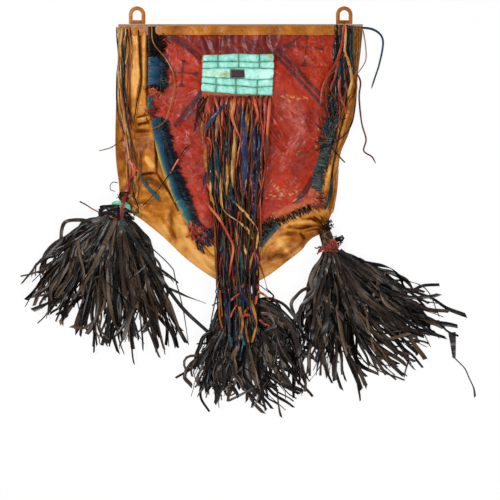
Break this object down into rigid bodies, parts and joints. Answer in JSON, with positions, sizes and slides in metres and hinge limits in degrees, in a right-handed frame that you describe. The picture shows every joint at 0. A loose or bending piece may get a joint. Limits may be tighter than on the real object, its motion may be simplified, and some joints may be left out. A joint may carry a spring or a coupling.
{
  "type": "leather camel bag",
  "caption": "Flat tan leather saddle pouch with a red shield panel, a turquoise stitched ornament, a long cut fringe, side thongs and dark strip tassels.",
  "frame": {"origin": "on the outer face of the back panel, near its middle; the bag lies on this face", "axes": "+X to the right seen from the front, +Y towards the mouth, +Z out of the front"},
  "size_m": [0.8084, 0.7436, 0.0427],
  "materials": {
    "tan_leather": "worn, satin",
    "red_leather": "worn, satin",
    "orange_leather": "worn, satin",
    "turquoise_leather": "worn, satin",
    "blue_leather": "worn, satin",
    "teal_leather": "worn, satin",
    "dark_teal_leather": "worn, satin",
    "ochre_leather": "worn, satin",
    "navy_leather": "worn, satin",
    "green_leather": "worn, satin",
    "black_leather": "worn, satin",
    "brown_leather": "worn, satin"
  },
  "bodies": {
    "root": {"back_panel": "tan_leather", "front_panel": "tan_leather", "mouth_band": "tan_leather", "left_hanging_loop": "tan_leather", "right_hanging_loop": "tan_leather", "red_panel": "red_leather", "left_end_tuft": "red_leather", "left_tail_band": "teal_leather", "left_long_band": "blue_leather", "left_middle_tuft": "red_leather", "left_upper_band": "blue_leather", "left_top_tuft": "brown_leather", "right_long_band": "dark_teal_leather", "right_red_band": "orange_leather", "right_tail_band": "dark_teal_leather", "ornament_backing": "orange_leather", "ornament_row_1": "turquoise_leather", "ornament_row_2": "turquoise_leather", "ornament_window": "brown_leather", "ornament_row_3": "turquoise_leather", "ornament_row_4": "turquoise_leather", "ornament_row_5": "turquoise_leather", "fringe_brown": "brown_leather", "fringe_teal": "teal_leather", "fringe_navy": "navy_leather", "fringe_ochre": "ochre_leather", "fringe_red": "red_leather", "left_thongs_teal": "teal_leather", "left_thongs_red": "red_leather", "left_thongs_ochre": "ochre_leather", "right_thongs_teal": "teal_leather", "right_thongs_red": "red_leather", "right_thongs_ochre": "ochre_leather", "left_tassel_neck": "brown_leather", "left_tassel_binding": "green_leather", "left_tassel_strips": "black_leather", "tip_tassel_neck": "brown_leather", "tip_tassel_binding": "brown_leather", "tip_tassel_strips": "black_leather", "right_tassel_neck": "brown_leather", "right_tassel_binding": "orange_leather", "right_tassel_strips": "black_leather"}
  },
  "joints": []
}
